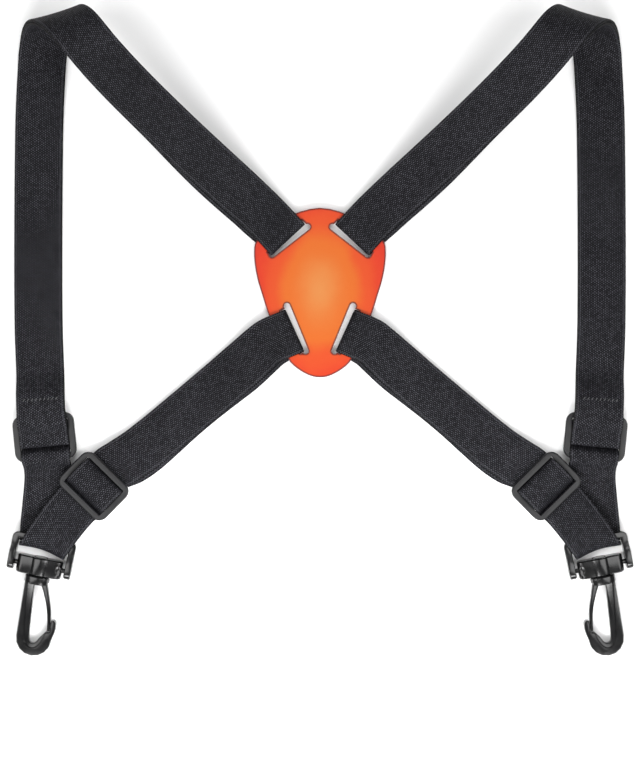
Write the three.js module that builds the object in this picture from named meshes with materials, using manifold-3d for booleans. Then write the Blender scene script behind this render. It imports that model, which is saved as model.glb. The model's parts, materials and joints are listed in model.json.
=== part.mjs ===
// A binocular harness, laid flat with its leather back plate up.
// Millimetres. +X across the wearer's back, +Y towards the shoulders, +Z up from the surface it lies on.
// One side is built to the left of the middle line, and the other side is its mirror image.
import * as THREE from "three";
import { mergeVertices } from "three/addons/utils/BufferGeometryUtils.js";
import Module from "manifold-3d";

const wasm = await Module();
wasm.setup();

// Woven elastic band
const bandWidth = 25;
const bandThickness = 1.4;
const plyGap = 0.35;
const slotBandWidth = 24.2;

// Leather back plate. Its lower tip is the zero of every place below.
const plateWidth = 69;
const plateHeight = 88.8;
const plateThickness = 2;
const plateEdge = 0.4;
const slotRadius = 1.6;
const slotClearance = 0.4;
const upperSlot = {
  inner: { across: 0.1913, up: 0.8885 },
  outer: { across: 0.7304, up: 0.7252 },
  fold: { across: 0.5362, up: 0.8333 },
  heading: -47,
};
const lowerSlot = {
  inner: { across: 0.5014, up: 0.4212 },
  outer: { across: 0.2203, up: 0.1554 },
  fold: { across: 0.4522, up: 0.2646 },
  heading: 24.5,
};
const plateRun = 14;

// Three-bar slider
const sliderRail = 3.1;
const sliderPlay = 0.5;
const sliderWidth = bandWidth + 2 * (sliderPlay + sliderRail);
const sliderLength = 24.4;
const sliderCorner = 5;
const sliderCrossbar = 3.1;
const sliderThickness = 3.2;
const sliderEdge = 0.6;
const centreBarWidth = 6.5;
const centreBarThickness = 2;
const shoulderSlider = { place: [-144.1, -31.3], heading: 95.5, bandShift: 0 };
const sideSlider = { place: [-118, -56.8], heading: 45.5, bandShift: 0.15 };
const seamReach = 10.5;
const humpCrown = 1.9;

// Doubled band from the shoulder slider up, and the arch where it turns over
const legOffset = 148;
const legTop = 163.6;
const archStart = [-146, legTop];
const archHeading = 85.5;
const archAxis = 16.9;
const archReach = 17.8;
const archRise = 39;
const archSweep = 192;
const archLean = 0.13;
const underSlip = 2;

// Hook hardware. Its zero is the pivot pin, and its -Y points along the hook.
const pinPlace = [-146.6, -98.7];
const pinHeight = 5.6;
const hardwareTurn = -11.5;
const pinRadius = 1.3;
const pinClearance = 0.3;
const bailLeg = 3.4;
const bailPlay = 1.3;
const bailInside = slotBandWidth / 2 + bailPlay;
const bailHalfWidth = bailInside + bailLeg;
const bailDepth = 6;
const bailLegEnd = -4.1;
const bailDeepTop = 7.3;
const bailBarPlace = 14.2;
const bailBarWidth = 3.2;
const bailBarThickness = 3.4;
const bailCorner = 3;
const foldPlace = 12.5;
const foldAxis = -19;
const foldHeading = -92;
const foldReach = 3.2;
const blockPlay = 1.4;
const blockHalfLength = bailInside - blockPlay;
const blockHalfDepth = 3.2;
const blockTop = 4.7;
const blockBottom = -4.8;
const barrelHalfWidth = 5.7;
const barrelHalfDepth = 4.7;
const shaftRadius = 2.4;
const shaftClearance = 0.3;
const shaftHeadRadius = 3.4;
const shaftHeadHeight = 1.6;
const collarHalfWidth = 6.5;
const collarHalfDepth = 4.6;
const collarHeight = 4.3;
const hookThickness = 5;
const hookWeb = 3.4;
const hookEnd = 47;
const hookBend = 9.2;
const gateThickness = 3;
const gatePivot = [4.4, -7.9];
const gateKnuckle = 1.6;
const gateGap = 0.3;

const elastic = new THREE.MeshStandardMaterial({ color: 0x262627, roughness: 0.85, metalness: 0 });
const leather = new THREE.MeshStandardMaterial({ color: 0xf2622f, roughness: 0.45, metalness: 0 });
const sliderPlastic = new THREE.MeshStandardMaterial({ color: 0x2c2c2d, roughness: 0.5, metalness: 0 });
const hookPlastic = new THREE.MeshStandardMaterial({ color: 0x232324, roughness: 0.3, metalness: 0 });

const { lerp, smoothstep, degToRad } = THREE.MathUtils;
const up = new THREE.Vector3(0, 0, 1);
const heading = (degrees) => new THREE.Vector3(Math.cos(degToRad(degrees)), Math.sin(degToRad(degrees)), 0);
const rightOf = (direction) => new THREE.Vector3(direction.y, -direction.x, 0).normalize();
const place = ([x, y], z = 0) => new THREE.Vector3(x, y, z);
const evenly = (count) => Array.from({ length: count + 1 }, (_, i) => i / count);

// Solids

function solid(geometry) {
  const bare = geometry.index ? geometry.toNonIndexed() : geometry.clone();
  bare.deleteAttribute("normal");
  bare.deleteAttribute("uv");
  const merged = mergeVertices(bare, 1e-3);
  return new wasm.Manifold(
    new wasm.Mesh({
      numProp: 3,
      vertProperties: new Float32Array(merged.attributes.position.array),
      triVerts: new Uint32Array(merged.index.array),
    }),
  );
}

function geometryOf(made) {
  const mesh = made.getMesh();
  const geometry = new THREE.BufferGeometry();
  geometry.setAttribute("position", new THREE.BufferAttribute(new Float32Array(mesh.vertProperties), 3));
  geometry.setIndex(new THREE.BufferAttribute(new Uint32Array(mesh.triVerts), 1));
  geometry.computeVertexNormals();
  return geometry;
}

// A plate of the given outline from low to high along Z, with softened edges
function slab(outline, low, high, edge = 0, segments = 5) {
  const geometry = new THREE.ExtrudeGeometry(outline, {
    depth: high - low - 2 * edge,
    bevelEnabled: edge > 0,
    bevelSize: edge,
    bevelOffset: -edge,
    bevelThickness: edge,
    bevelSegments: 1,
    curveSegments: segments,
  });
  return geometry.translate(0, 0, low + edge);
}

const [xAxis, yAxis, zAxis] = [[1, 0, 0], [0, 1, 0], [0, 0, 1]].map((v) => new THREE.Vector3(...v));
const standingAlongX = (geometry) => geometry.applyMatrix4(new THREE.Matrix4().makeBasis(yAxis, zAxis, xAxis));
const standingAlongY = (geometry) => geometry.applyMatrix4(new THREE.Matrix4().makeBasis(zAxis, xAxis, yAxis));

function oval(x, y, halfWidth, halfHeight = halfWidth) {
  return new THREE.Shape().absellipse(x, y, halfWidth, halfHeight, 0, 2 * Math.PI);
}

function stadium(from, to, radius) {
  const turn = Math.atan2(to.y - from.y, to.x - from.x);
  const shape = new THREE.Shape();
  shape.absarc(to.x, to.y, radius, turn - Math.PI / 2, turn + Math.PI / 2);
  shape.absarc(from.x, from.y, radius, turn + Math.PI / 2, turn + 1.5 * Math.PI);
  return shape;
}

function roundedRectangle(left, bottom, right, top, radius) {
  const shape = new THREE.Shape();
  shape.absarc(right - radius, bottom + radius, radius, -Math.PI / 2, 0);
  shape.absarc(right - radius, top - radius, radius, 0, Math.PI / 2);
  shape.absarc(left + radius, top - radius, radius, Math.PI / 2, Math.PI);
  shape.absarc(left + radius, bottom + radius, radius, Math.PI, 1.5 * Math.PI);
  return shape;
}

function box(left, bottom, low, right, top, high) {
  const geometry = new THREE.BoxGeometry(right - left, top - bottom, high - low);
  return geometry.translate((left + right) / 2, (bottom + top) / 2, (low + high) / 2);
}

// A band is a run of stations: the middle of the band, the way across it and its width there

const station = (at, across, width = bandWidth) => ({ at, across, width });

function alongAt(run, i) {
  const before = run[Math.max(i - 1, 0)].at;
  const after = run[Math.min(i + 1, run.length - 1)].at;
  return after.clone().sub(before).normalize();
}

function bandGeometry(run) {
  const points = [];
  const faces = [];
  const facing = run[0].across.clone();
  run.forEach((stop, i) => {
    const along = alongAt(run, i);
    facing.copy(stop.across).multiplyScalar(Math.sign(stop.across.dot(facing)));
    const side = facing.clone().addScaledVector(along, -facing.dot(along)).normalize();
    const thick = side.clone().cross(along).multiplyScalar(bandThickness / 2);
    side.multiplyScalar(stop.width / 2);
    for (const [a, b] of [[-1, -1], [1, -1], [1, 1], [-1, 1]]) {
      points.push(...stop.at.clone().addScaledVector(side, a).addScaledVector(thick, b).toArray());
    }
    const here = 4 * i;
    const there = here - 4;
    for (let k = 0; k < 4 && i > 0; k++) {
      const next = (k + 1) % 4;
      faces.push(there + k, here + next, there + next, there + k, here + k, here + next);
    }
  });
  const end = 4 * (run.length - 1);
  faces.push(0, 1, 2, 0, 2, 3, end, end + 2, end + 1, end, end + 3, end + 2);
  const geometry = new THREE.BufferGeometry();
  geometry.setAttribute("position", new THREE.Float32BufferAttribute(points, 3));
  geometry.setIndex(faces);
  geometry.computeVertexNormals();
  return geometry;
}

// One ply of a doubled run: lifted off the middle, and slipped sideways under the other ply
function plyOf(middleRun, liftAt, slipAt = () => 0) {
  return middleRun.map((stop, i) => {
    const upright = stop.across.clone().cross(alongAt(middleRun, i)).normalize();
    const share = i / (middleRun.length - 1);
    const at = stop.at.clone().addScaledVector(upright, liftAt(share));
    return station(at.addScaledVector(stop.across, slipAt(share)), stop.across, stop.width);
  });
}

// Straight stretches [along, height] whose corners are eased over the third number
function easedPath(corners, steps) {
  const spots = corners.map(([along, height]) => new THREE.Vector2(along, height));
  const inner = spots.slice(1, -1).flatMap((corner, i) => {
    const [from, to] = [spots[i], spots[i + 2]].map((spot) =>
      spot.clone().sub(corner).setLength(corners[i + 1][2]).add(corner));
    return new THREE.QuadraticBezierCurve(from, corner, to).getPoints(steps);
  });
  return [spots[0], ...inner, spots[spots.length - 1]];
}

// The flat band wrapped over an oval cylinder that lies along an axis; centred sets the angle that start marks
function wrapRun({ start, inward, axis, reach, rise, sweep, lean = 0, centred = 0, width, steps }) {
  const forward = heading(inward);
  const side = rightOf(forward);
  const along = heading(axis);
  const out = heading(axis + (forward.dot(heading(axis + 90)) > 0 ? 90 : -90));
  const perRadian = Math.hypot(reach, rise / 2) / Math.SQRT2;
  const drift = (perRadian * forward.dot(along)) / forward.dot(out);
  return evenly(steps).map((share) => {
    const angle = share * degToRad(sweep);
    const height = (rise / 2) * (1 - Math.cos(angle));
    const climb = (rise / 2) * Math.sin(angle);
    const at = start.clone().addScaledVector(out, reach * Math.sin(angle)).addScaledVector(up, height);
    at.addScaledVector(along, drift * (angle - degToRad(centred)) + lean * height);
    const round = out.clone().multiplyScalar(reach * Math.cos(angle)).addScaledVector(up, climb);
    round.addScaledVector(along, lean * climb).multiplyScalar(side.dot(out) / perRadian);
    return station(at, round.addScaledVector(along, side.dot(along)).normalize(), width);
  });
}

// Heights of the plies at a slider, counted from the outer face of the sewn ply

const pitch = bandThickness + plyGap;
const longPly = bandThickness / 2;
const returnPly = longPly + pitch;
const slidingPly = returnPly + pitch;
const frameLow = slidingPly + bandThickness / 2 + plyGap;
const frameHigh = frameLow + sliderThickness;
const loopPly = frameLow + centreBarThickness + plyGap + bandThickness / 2;
const humpPly = loopPly + pitch;
const windowEnd = sliderLength / 2 - sliderCrossbar;
const pastSlider = sliderLength / 2 + 0.5;
const pastBar = centreBarWidth / 2 + plyGap + bandThickness / 2;
const slopeSum = pastBar + 0.2 + frameLow;
const longSum = slopeSum - pitch * Math.SQRT2;
const turnUp = windowEnd - plyGap - bandThickness / 2;

const sewnProfile = [
  [pastSlider, returnPly],
  [slopeSum - returnPly, returnPly, 1.5],
  [pastBar + 0.2, frameLow, 1.2],
  [pastBar, loopPly, 1.5],
  [-pastBar, loopPly, 1.5],
  [-pastBar, slidingPly, 1.5],
  [longSum - slidingPly, slidingPly, 1.5],
  [longSum - longPly, longPly, 1.5],
  [pastSlider, longPly],
];
const slidingProfile = [
  [pastSlider, slidingPly],
  [turnUp, slidingPly, 1.4],
  [turnUp - 0.8, humpPly - 0.6, 2],
  [0, humpPly + humpCrown, 5.2],
  [-pastBar - 1, humpPly - 0.4, 1.6],
  [-turnUp, slidingPly, 1.4],
  [-pastSlider, slidingPly],
];
const crestPly = Math.max(...easedPath(slidingProfile, 4).map((spot) => spot.y));
const stackHeight = crestPly + bandThickness / 2;

// A slider's seat: places along its strap, at a ply's height
function seatOf({ place: spot, heading: turn, bandShift }, heightOf) {
  const along = heading(turn);
  const at = (distance, ply) =>
    place(spot, heightOf(ply)).addScaledVector(along, distance).addScaledVector(rightOf(along), bandShift);
  const through = (profile) => easedPath(profile, 4).map((p) => station(at(p.x, p.y), rightOf(along)));
  return { along, at, through };
}

const shoulderSeat = seatOf(shoulderSlider, (ply) => stackHeight - ply);
const sideSeat = seatOf(sideSlider, (ply) => ply);

// A level run whose ply heights depend on the way gone along it
function levelRun(curve, stops, heightAt, { slipAt = () => 0, widthAt = () => bandWidth } = {}) {
  const length = curve.getLength();
  return stops.map((s) => {
    const across = rightOf(curve.getTangentAt(s / length));
    const at = curve.getPointAt(s / length).setZ(heightAt(s));
    return station(at.addScaledVector(across, slipAt(s)), across, widthAt(s));
  });
}

// Plate, and the turn of a band over the edge of its slot

const plateLow = bandThickness + plyGap;
const plateHigh = plateLow + plateThickness;
const plateMiddle = plateLow + plateThickness / 2;
const slotTurn = plateThickness / 2 + plyGap + bandThickness / 2;

const onPlate = ({ across, up: rise }, z = 0) => place([(across * plateWidth) / 2, rise * plateHeight], z);
const onLeftOfPlate = ({ across, up: rise }, z = 0) => onPlate({ across: -across, up: rise }, z);

const plateShares = [
  { across: 0.366, up: 0.969 },
  { across: 0.7, up: 0.9 },
  { across: 0.9, up: 0.83 },
  { across: 0.985, up: 0.79 },
  { across: 1, up: 0.74 },
  { across: 0.99, up: 0.669 },
  { across: 0.948, up: 0.578 },
  { across: 0.878, up: 0.488 },
  { across: 0.774, up: 0.362 },
  { across: 0.471, up: 0.0997 },
  { across: 0.319, up: 0.0454 },
  { across: 0.133, up: 0.0077 },
];

function plateGeometry() {
  const half = plateShares.map((share) => onPlate(share));
  const mirrored = plateShares.map((share) => onLeftOfPlate(share)).reverse();
  const points = [place([0, plateHeight]), ...half, place([0, 0]), ...mirrored];
  const edge = new THREE.CatmullRomCurve3(points, true, "centripetal");
  const outline = new THREE.Shape(edge.getPoints(64).slice(0, -1).map(({ x, y }) => new THREE.Vector2(x, y)));
  let plate = solid(slab(outline, plateLow, plateHigh, plateEdge));
  for (const { inner, outer, fold, heading: turn } of [upperSlot, lowerSlot]) {
    const along = slotBandWidth / 2 + slotClearance;
    const through = slotTurn + bandThickness / 2 + slotClearance;
    for (const hand of [1, -1]) {
      const passage = box(0, -along, plateLow - 1, through, along, plateHigh + 1);
      const middle = onPlate({ across: hand * fold.across, up: fold.up });
      passage.rotateZ(degToRad(hand < 0 ? turn : 180 - turn)).translate(middle.x, middle.y, 0);
      const ends = [inner, outer].map(({ across, up: rise }) => onPlate({ across: hand * across, up: rise }));
      const slit = slab(stadium(...ends, slotRadius), plateLow - 1, plateHigh + 1);
      plate = plate.subtract(solid(slit)).subtract(solid(passage));
    }
  }
  return geometryOf(plate);
}

// The band over the edge of a slot, from above the plate to below it
function slotRun({ fold, heading: turn }) {
  const forward = heading(turn);
  return evenly(8).map((share) => {
    const angle = share * Math.PI;
    const at = onLeftOfPlate(fold, plateMiddle + slotTurn * Math.cos(angle));
    return station(at.addScaledVector(forward, slotTurn * Math.sin(angle)), rightOf(forward), slotBandWidth);
  });
}

const beforeSlot = ({ fold, heading: turn }, z = 0) =>
  onLeftOfPlate(fold, z).addScaledVector(heading(turn), -plateRun);

// Shoulder band, from its sewn end up the leg, over the arch, to the plate and back down to the hook

const legShares = [
  { away: 0.995, up: 0.219 },
  { away: 0.999, up: 0.368 },
  { away: 0.997, up: 0.772 },
];
const legCurve = new THREE.CatmullRomCurve3(
  [
    shoulderSeat.at(pastSlider, 0).setZ(0),
    ...legShares.map(({ away, up: rise }) =>
      place([-legOffset * away, lerp(shoulderSlider.place[1], archStart[1], rise)])),
    place(archStart).addScaledVector(heading(archHeading), -8),
    place(archStart),
  ],
  false,
  "centripetal",
);
const legLength = legCurve.getLength();
const legStops = [4, 8, 11, 15, 20, 26, 40, 62, 86, 110, 134, 158].filter((s) => s < legLength - 6);
const slidingPlyOfLeg = (s) => lerp(stackHeight - slidingPly, longPly, smoothstep(s, 0, 26));
const sewnPlyOfLeg = (s) => slidingPlyOfLeg(s) + pitch * (2 - smoothstep(s, seamReach + 0.5, seamReach + 9));

const archRun = wrapRun({
  start: place(archStart, (longPly + returnPly) / 2),
  inward: archHeading,
  axis: archAxis,
  reach: archReach,
  rise: archRise,
  sweep: archSweep,
  lean: archLean,
  steps: 18,
});
for (const { at, across } of archRun) {
  at.z = Math.max(at.z, pitch / 2 + longPly + (Math.abs(across.z) * bandWidth) / 2);
}
const archEnd = archRun[archRun.length - 1].at;
const upperEdge = beforeSlot(upperSlot, plateMiddle);
const slopeLength = archEnd.distanceTo(upperEdge);
const slope = new THREE.CubicBezierCurve3(
  archEnd,
  archEnd.clone().addScaledVector(alongAt(archRun, archRun.length - 1), 0.3 * slopeLength),
  upperEdge.clone().addScaledVector(heading(upperSlot.heading), -0.08 * slopeLength),
  upperEdge,
);
const slopeRun = evenly(12).slice(1).map((share) =>
  station(
    slope.getPointAt(share),
    rightOf(slope.getTangentAt(share)).negate(),
    lerp(bandWidth, slotBandWidth, smoothstep(share, 0.8, 1)),
  ));
const overShoulder = [...archRun, ...slopeRun];
const spreadAt = (share) => lerp(pitch / 2, slotTurn, smoothstep(share, 0.92, 1));
const underSlipAt = (share) => -underSlip * smoothstep(share, 0.74, 0.9);

// The fold over the bail's bar
const hardwareUp = heading(90 + hardwareTurn);
const foldRise = bailBarThickness + 2 * plyGap + bandThickness;
const foldRun = wrapRun({
  start: place(pinPlace, pinHeight - foldRise / 2).addScaledVector(hardwareUp, foldPlace),
  inward: foldHeading,
  axis: foldAxis,
  reach: foldReach,
  rise: foldRise,
  sweep: 180,
  centred: 90,
  width: slotBandWidth,
  steps: 10,
});
const foldStart = foldRun[0].at;
const foldForward = heading(foldHeading);

const dropShares = [
  { along: 0.08, height: 3.9 },
  { along: 0.214, height: 2.1 },
  { along: 0.6, height: 2 },
  { along: 0.905, height: foldStart.z - 0.1 },
];
const dropStart = shoulderSeat.at(-pastSlider, slidingPly);
const dropReach = dropStart.distanceTo(foldStart) / 3;
const dropPlan = new THREE.CubicBezierCurve3(
  dropStart.clone().setZ(0),
  dropStart.clone().addScaledVector(shoulderSeat.along, -dropReach).setZ(0),
  foldStart.clone().addScaledVector(foldForward, -dropReach).setZ(0),
  foldStart.clone().setZ(0),
);
const dropCurve = new THREE.CatmullRomCurve3(
  [dropStart, ...dropShares.map(({ along, height }) => dropPlan.getPointAt(along).setZ(height)), foldStart],
  false,
  "centripetal",
);
const dropRun = evenly(14).slice(1).map((share) =>
  station(
    dropCurve.getPointAt(share),
    rightOf(dropCurve.getTangentAt(share)),
    lerp(bandWidth, slotBandWidth, smoothstep(share, 0.7, 1)),
  ));

const shoulderBand = [
  ...levelRun(legCurve, [seamReach, seamReach / 2], (s) => slidingPlyOfLeg(s) + pitch),
  ...shoulderSeat.through(sewnProfile),
  ...levelRun(legCurve, legStops, sewnPlyOfLeg),
  ...plyOf(overShoulder, spreadAt, underSlipAt),
  ...slotRun(upperSlot).reverse(),
  ...plyOf(overShoulder, (share) => -spreadAt(share)).reverse(),
  ...levelRun(legCurve, legStops.slice().reverse(), slidingPlyOfLeg),
  ...shoulderSeat.through(slidingProfile),
  ...dropRun,
];

// Side band, from the fold under the hook to the plate and back to its sewn end

const riseEnd = sideSeat.at(-pastSlider, slidingPly);
const foldEnd = foldRun[foldRun.length - 1].at;
const riseReach = foldEnd.distanceTo(riseEnd) / 3;
const riseCurve = new THREE.CubicBezierCurve3(
  foldEnd.clone().setZ(0),
  foldEnd.clone().addScaledVector(alongAt(foldRun, foldRun.length - 1).setZ(0).normalize(), riseReach).setZ(0),
  riseEnd.clone().addScaledVector(sideSeat.along, -riseReach).setZ(0),
  riseEnd.clone().setZ(0),
);
const riseLength = riseCurve.getLength();
const riseRun = levelRun(
  riseCurve,
  [1, 2, 3, 4, 5, 6, 7, 8, 9].map((step) => (step / 10) * riseLength),
  (s) => lerp(foldEnd.z, riseEnd.z, smoothstep(s, 5, riseLength - 3)),
  { widthAt: (s) => lerp(slotBandWidth, bandWidth, s / riseLength) },
);

const bowShares = [
  { along: 0.17, bow: 0.017 },
  { along: 0.52, bow: 0.0165 },
  { along: 0.8, bow: 0.0095 },
];
const sideStart = sideSeat.at(pastSlider, 0).setZ(0);
const lowerEdge = beforeSlot(lowerSlot);
const sideChord = lowerEdge.clone().sub(sideStart);
const sideCurve = new THREE.CatmullRomCurve3(
  [
    sideStart,
    ...bowShares.map(({ along, bow }) =>
      sideStart.clone().addScaledVector(sideChord, along).addScaledVector(rightOf(sideChord), bow * sideChord.length())),
    lowerEdge,
  ],
  false,
  "centripetal",
);
const sideLength = sideCurve.getLength();
const sideStops = [5.5, 11, 13, 15, 17.5, 20, 30, 45, 60, 75, sideLength - 18, sideLength - 13, sideLength - 9,
  sideLength - 5, sideLength];
const sideTop = (s) =>
  returnPly + pitch * (1 - smoothstep(s, seamReach + 0.5, seamReach + 9)) +
  (plateMiddle + slotTurn - returnPly) * smoothstep(s, sideLength - 18, sideLength - 3);
const sideSlip = (s) =>
  underSlip * smoothstep(s, 0, 12) * (1 - 0.7 * smoothstep(s, 16, 45) + 0.7 * smoothstep(s, 60, 90));
const sideWidth = (s) => lerp(bandWidth, slotBandWidth, smoothstep(s, sideLength - 20, sideLength));

const sideBand = [
  station(foldStart.clone().addScaledVector(foldForward, plyGap), foldRun[0].across, slotBandWidth),
  ...foldRun.slice(1),
  ...riseRun,
  ...sideSeat.through(slidingProfile).reverse(),
  ...levelRun(sideCurve, sideStops, sideTop, { widthAt: sideWidth }),
  ...slotRun(lowerSlot),
  ...levelRun(sideCurve, sideStops.slice().reverse(), () => longPly, { slipAt: sideSlip, widthAt: sideWidth }),
  ...sideSeat.through(sewnProfile).reverse(),
  ...levelRun(sideCurve, [seamReach / 2, seamReach], () => returnPly),
];

// Slider: a frame with two windows, its centre bar thinner than the frame and flush with one face

function sliderGeometry() {
  const [x, y] = [sliderWidth / 2, sliderLength / 2];
  const inside = x - sliderRail;
  const bar = centreBarWidth / 2;
  const frame = solid(slab(roundedRectangle(-x, -y, x, y, sliderCorner), frameLow, frameHigh, sliderEdge, 3));
  const upper = solid(slab(roundedRectangle(-inside, bar, inside, windowEnd, 0.5), frameLow - 1, frameHigh + 1, 0, 2));
  const lower = solid(slab(roundedRectangle(-inside, -windowEnd, inside, -bar, 0.5), frameLow - 1, frameHigh + 1, 0, 2));
  const above = solid(box(-inside, -bar - 1, frameLow + centreBarThickness, inside, bar + 1, frameHigh + 1));
  return geometryOf(frame.subtract(upper).subtract(lower).subtract(above));
}

// Bail: a bar between two legs that carry the pivot pin

function bailGeometry() {
  const inside = bailInside;
  const top = bailBarPlace + bailBarWidth / 2;
  const [deep, thin] = [bailDepth / 2, bailBarThickness / 2];
  const hoop = roundedRectangle(-bailHalfWidth, 0, bailHalfWidth, top, bailCorner);
  const window = roundedRectangle(-inside, -1, inside, top - bailBarWidth, 0.6);
  let bail = solid(slab(hoop, -thin, thin, 0.5, 3))
    .subtract(solid(slab(window, -deep, deep, 0, 2)))
    .subtract(solid(box(-bailHalfWidth - 1, -1, -deep, bailHalfWidth + 1, bailDeepTop, deep)));
  const side = new THREE.Shape();
  side.absarc(bailLegEnd + deep, 0, deep, Math.PI / 2, 1.5 * Math.PI);
  side.lineTo(bailDeepTop - 1.5, -deep);
  side.lineTo(bailDeepTop + 1.5, -thin);
  side.lineTo(bailDeepTop + 1.5, thin);
  side.lineTo(bailDeepTop - 1.5, deep);
  const hole = oval(0, 0, pinRadius + pinClearance);
  for (const [low, high] of [[-bailHalfWidth, -inside], [inside, bailHalfWidth]]) {
    bail = bail.add(solid(standingAlongX(slab(side, low, high, 0.4))));
    bail = bail.subtract(solid(standingAlongX(slab(hole, low - 1, high + 1))));
  }
  return geometryOf(bail);
}

// Swivel block: turns on its two pins in the bail, and carries the hook's shaft in its barrel

function blockGeometry() {
  const ends = blockHalfLength - blockHalfDepth;
  const bar = stadium(place([0, -ends]), place([0, ends]), blockHalfDepth);
  const barrel = oval(0, 0, barrelHalfDepth, barrelHalfWidth);
  const headSeat = blockTop - shaftHeadHeight - shaftClearance;
  let block = solid(standingAlongY(slab(bar, blockBottom, blockTop, 0.6)));
  block = block.add(solid(standingAlongY(slab(barrel, blockBottom, blockTop, 0.6, 6))));
  for (const hand of [-1, 1]) {
    const span = [hand * (blockHalfLength - 1), hand * bailHalfWidth].sort((a, b) => a - b);
    block = block.add(solid(standingAlongX(slab(oval(0, 0, pinRadius), ...span))));
  }
  const bore = oval(0, 0, shaftRadius + shaftClearance);
  const counterbore = oval(0, 0, shaftHeadRadius + shaftClearance);
  block = block.subtract(solid(standingAlongY(slab(bore, blockBottom - 1, blockTop + 1))));
  block = block.subtract(solid(standingAlongY(slab(counterbore, headSeat, blockTop + 1))));
  return geometryOf(block);
}

// Hook: shaft and head, collar, a spine that bends round to the tip, thinner inside its rim.
// Its outline is in shares of the reach from the pin to the end of the bend.

const hookFoot = blockBottom - shaftClearance - collarHeight;
const onHook = ({ across, down }) => new THREE.Vector2(across * hookEnd, -down * hookEnd);
const spineBack = -0.1234 * hookEnd;
const bendMiddle = [0.0915 * hookEnd, hookBend - hookEnd];

const tipShares = [
  { across: 0.3021, down: 0.7191 },
  { across: 0.3085, down: 0.6596 },
  { across: 0.3021, down: 0.5915 },
  { across: 0.2766, down: 0.5638 },
];
const beakShares = [
  { across: 0.2489, down: 0.5702 },
  { across: 0.2468, down: 0.5957 },
  { across: 0.2553, down: 0.6936 },
  { across: 0.2383, down: 0.7064 },
  { across: 0.2085, down: 0.7085 },
];
const webShares = [
  { across: 0.1553, down: 0.7809 },
  { across: 0.1213, down: 0.8426 },
  { across: 0.0872, down: 0.8617 },
  { across: 0.0532, down: 0.8511 },
  { across: 0.0362, down: 0.8 },
  { across: 0.0277, down: 0.7043 },
];
const rimShares = [
  { across: 0.1723, down: 0.8213 },
  { across: 0.1213, down: 0.8936 },
  { across: 0.0723, down: 0.9064 },
  { across: 0.017, down: 0.8723 },
  { across: -0.0106, down: 0.8106 },
  { across: -0.034, down: 0.6681 },
];
const webBack = { across: -0.0128, down: 0.2723 };
const rimBack = { across: -0.0617, down: 0.4298 };

function hookOutline(insideShares, back, top) {
  const shape = new THREE.Shape();
  shape.moveTo(spineBack, hookFoot + 1);
  shape.lineTo(bendMiddle[0] - hookBend, bendMiddle[1]);
  shape.absarc(...bendMiddle, hookBend, Math.PI, 2.03 * Math.PI);
  shape.splineThru(tipShares.map(onHook));
  for (const corner of beakShares.map(onHook)) {
    shape.lineTo(corner.x, corner.y);
  }
  shape.splineThru(insideShares.map(onHook));
  const foot = onHook(back);
  shape.lineTo(foot.x, foot.y);
  shape.lineTo(top * hookEnd, hookFoot + 1);
  return shape;
}

function hookGeometry() {
  const web = hookOutline(webShares, webBack, -0.0149);
  const rim = hookOutline(rimShares, rimBack, -0.0872);
  const [thick, thin] = [hookThickness / 2, hookWeb / 2];
  const shaft = slab(oval(0, 0, shaftRadius), hookFoot + 1, blockTop - 0.5);
  const head = slab(oval(0, 0, shaftHeadRadius), blockTop - shaftHeadHeight, blockTop, 0.4);
  const collar = slab(oval(0, 0, collarHalfDepth, collarHalfWidth), hookFoot, hookFoot + collarHeight, 0.6, 6);
  let hook = solid(slab(rim, -thick, thick, 0.5, 4)).add(solid(slab(web, -thin, thin, 0.3, 3)));
  for (const turned of [shaft, head, collar]) {
    hook = hook.add(solid(standingAlongY(turned)));
  }
  const socket = gateThickness / 2 + gateGap;
  const knuckleSeat = slab(oval(...gatePivot, gateKnuckle + gateGap), -socket, socket);
  const left = gatePivot[0] - gateKnuckle - 1.2;
  const mouth = box(left, hookFoot - 1, -socket, collarHalfWidth + 2, gatePivot[1], socket);
  return geometryOf(hook.subtract(solid(knuckleSeat)).subtract(solid(mouth)));
}

// Gate: a sprung tongue from the collar to the tip, in the hook's shares
const gateInside = [
  { across: 0.1021, down: 0.2787 },
  { across: 0.1489, down: 0.3872 },
  { across: 0.1787, down: 0.4787 },
  { across: 0.2064, down: 0.6 },
  { across: 0.2191, down: 0.6979 },
];
const gateOutside = [
  { across: 0.2447, down: 0.6936 },
  { across: 0.2383, down: 0.5957 },
  { across: 0.2213, down: 0.4702 },
  { across: 0.1872, down: 0.3596 },
  { across: 0.1489, down: 0.2489 },
];

function gateGeometry() {
  const [x, y] = gatePivot;
  const leaf = new THREE.Shape();
  leaf.moveTo(x - gateKnuckle + 0.1, y);
  leaf.lineTo(x - gateKnuckle, y - 0.75 * gateKnuckle);
  leaf.splineThru(gateInside.map(onHook));
  const [first, ...rest] = gateOutside.map(onHook);
  leaf.lineTo(first.x, first.y);
  leaf.splineThru([...rest, new THREE.Vector2(x + gateKnuckle, y - 0.6 * gateKnuckle)]);
  leaf.lineTo(x + gateKnuckle - 0.1, y);
  const half = gateThickness / 2;
  return geometryOf(solid(slab(leaf, -half, half, 0.3, 2)).add(solid(slab(oval(x, y, gateKnuckle), -half, half))));
}

// The harness: one set of pieces on each side of the plate

function piece(name, geometry, material) {
  const mesh = new THREE.Mesh(geometry, material);
  mesh.name = name;
  return mesh;
}

const pieces = {
  shoulderBand: bandGeometry(shoulderBand),
  sideBand: bandGeometry(sideBand),
  slider: sliderGeometry(),
  bail: bailGeometry(),
  block: blockGeometry(),
  hook: hookGeometry(),
  gate: gateGeometry(),
};

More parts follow.
